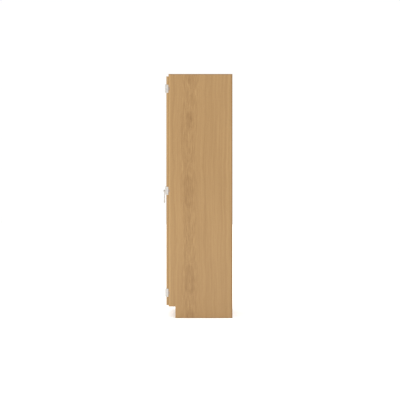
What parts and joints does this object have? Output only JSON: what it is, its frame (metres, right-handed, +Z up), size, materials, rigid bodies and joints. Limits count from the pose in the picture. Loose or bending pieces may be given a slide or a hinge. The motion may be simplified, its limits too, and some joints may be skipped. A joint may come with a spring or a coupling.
{
  "type": "tall pantry cabinet",
  "caption": "Tall oak-veneer storage cabinet on a recessed toe kick: two overlay doors on knuckle hinges, a lever handle with a three-point latch, and shelves.",
  "frame": {"origin": "on the floor, at the centre of the overall width and of the overall depth, lever handle included", "axes": "+Z up, -Y towards the front where the doors are, +X to the right of someone facing the doors"},
  "size_m": [0.9144, 0.617, 2.1336],
  "materials": {
    "oak_veneer": "clear satin lacquer on plain-sliced oak veneer",
    "oak_back_panel": "clear satin lacquer on thin oak plywood",
    "dull_chrome": "dull chrome plate",
    "nickel_plate": "satin nickel plate",
    "zinc_steel": "bright zinc plate",
    "nylon": "moulded, off-white"
  },
  "bodies": {
    "carcass": {"left_side_panel": "oak_veneer", "right_side_panel": "oak_veneer", "top_panel": "oak_veneer", "bottom_panel": "oak_veneer", "toe_kick_board": "oak_veneer", "rear_base_rail": "oak_veneer", "back_panel": "oak_back_panel", "bottom_hanging_rail": "oak_veneer", "top_hanging_rail": "oak_veneer", "fixed_middle_shelf": "oak_veneer", "adjustable_shelf_lower": "oak_veneer", "adjustable_shelf_middle": "oak_veneer", "adjustable_shelf_upper": "oak_veneer", "shelf_support_lower_left_front": "nickel_plate", "shelf_support_lower_left_rear": "nickel_plate", "shelf_support_lower_right_front": "nickel_plate", "shelf_support_lower_right_rear": "nickel_plate", "shelf_support_middle_left_front": "nickel_plate", "shelf_support_middle_left_rear": "nickel_plate", "shelf_support_middle_right_front": "nickel_plate", "shelf_support_middle_right_rear": "nickel_plate", "shelf_support_upper_left_front": "nickel_plate", "shelf_support_upper_left_rear": "nickel_plate", "shelf_support_upper_right_front": "nickel_plate", "shelf_support_upper_right_rear": "nickel_plate", "left_bottom_hinge_frame_leaf": "dull_chrome", "left_middle_hinge_frame_leaf": "dull_chrome", "left_top_hinge_frame_leaf": "dull_chrome", "left_bottom_hinge_pin": "dull_chrome", "left_middle_hinge_pin": "dull_chrome", "left_top_hinge_pin": "dull_chrome", "right_bottom_hinge_frame_leaf": "dull_chrome", "right_middle_hinge_frame_leaf": "dull_chrome", "right_top_hinge_frame_leaf": "dull_chrome", "right_bottom_hinge_pin": "dull_chrome", "right_middle_hinge_pin": "dull_chrome", "right_top_hinge_pin": "dull_chrome", "top_strike_plate": "nickel_plate", "bottom_strike_plate": "nickel_plate"},
    "left_door": {"left_door": "oak_veneer", "left_bottom_hinge_door_leaf": "dull_chrome", "left_middle_hinge_door_leaf": "dull_chrome", "left_top_hinge_door_leaf": "dull_chrome", "top_bolt_case": "nickel_plate", "bottom_bolt_case": "nickel_plate"},
    "right_door": {"right_door": "oak_veneer", "right_bottom_hinge_door_leaf": "dull_chrome", "right_middle_hinge_door_leaf": "dull_chrome", "right_top_hinge_door_leaf": "dull_chrome", "handle_rose": "dull_chrome", "upper_rod_guide": "nylon", "lower_rod_guide": "nylon"},
    "handle": {"lever_handle": "dull_chrome", "latch_cam": "zinc_steel", "cam_nut": "zinc_steel"},
    "lock_plug": {"lock_plug": "nickel_plate"},
    "upper_rod": {"upper_latch_rod": "zinc_steel"},
    "lower_rod": {"lower_latch_rod": "zinc_steel"},
    "top_bolt": {"top_slide_bolt": "zinc_steel"},
    "bottom_bolt": {"bottom_slide_bolt": "zinc_steel"}
  },
  "joints": [
    {"name": "left_door_swing", "type": "hinge", "parent": "carcass", "child": "left_door", "pos_m": [-0.4519, -0.27495, 1.11365], "axis": [0, 0, -1], "range_deg": [0, 260]},
    {"name": "right_door_swing", "type": "hinge", "parent": "carcass", "child": "right_door", "pos_m": [0.4519, -0.27495, 1.11365], "axis": [0, 0, 1], "range_deg": [0, 260]},
    {"name": "handle_turn", "type": "hinge", "parent": "right_door", "child": "handle", "pos_m": [0.045, -0.2503, 1.11365], "axis": [0, -1, 0], "range_deg": [0, 90]},
    {"name": "lock_plug_turn", "type": "hinge", "parent": "handle", "child": "lock_plug", "pos_m": [0.045, -0.2903, 1.11365], "axis": [0, -1, 0], "range_deg": [0, 90]},
    {"name": "upper_rod_slide", "type": "slide", "parent": "right_door", "child": "upper_rod", "axis": [0, 0, 1], "range_m": [0, 0.0212]},
    {"name": "lower_rod_slide", "type": "slide", "parent": "right_door", "child": "lower_rod", "axis": [0, 0, -1], "range_m": [0, 0.0212]},
    {"name": "top_bolt_slide", "type": "slide", "parent": "left_door", "child": "top_bolt", "axis": [0, 0, 1], "range_m": [0, 0.016]},
    {"name": "bottom_bolt_slide", "type": "slide", "parent": "left_door", "child": "bottom_bolt", "axis": [0, 0, -1], "range_m": [0, 0.016]}
  ],
  "couplings": [
    {"joint": "handle_turn", "follows": "upper_rod_slide", "rad_per_m": 74.048},
    {"joint": "lower_rod_slide", "follows": "upper_rod_slide", "ratio": 1}
  ]
}
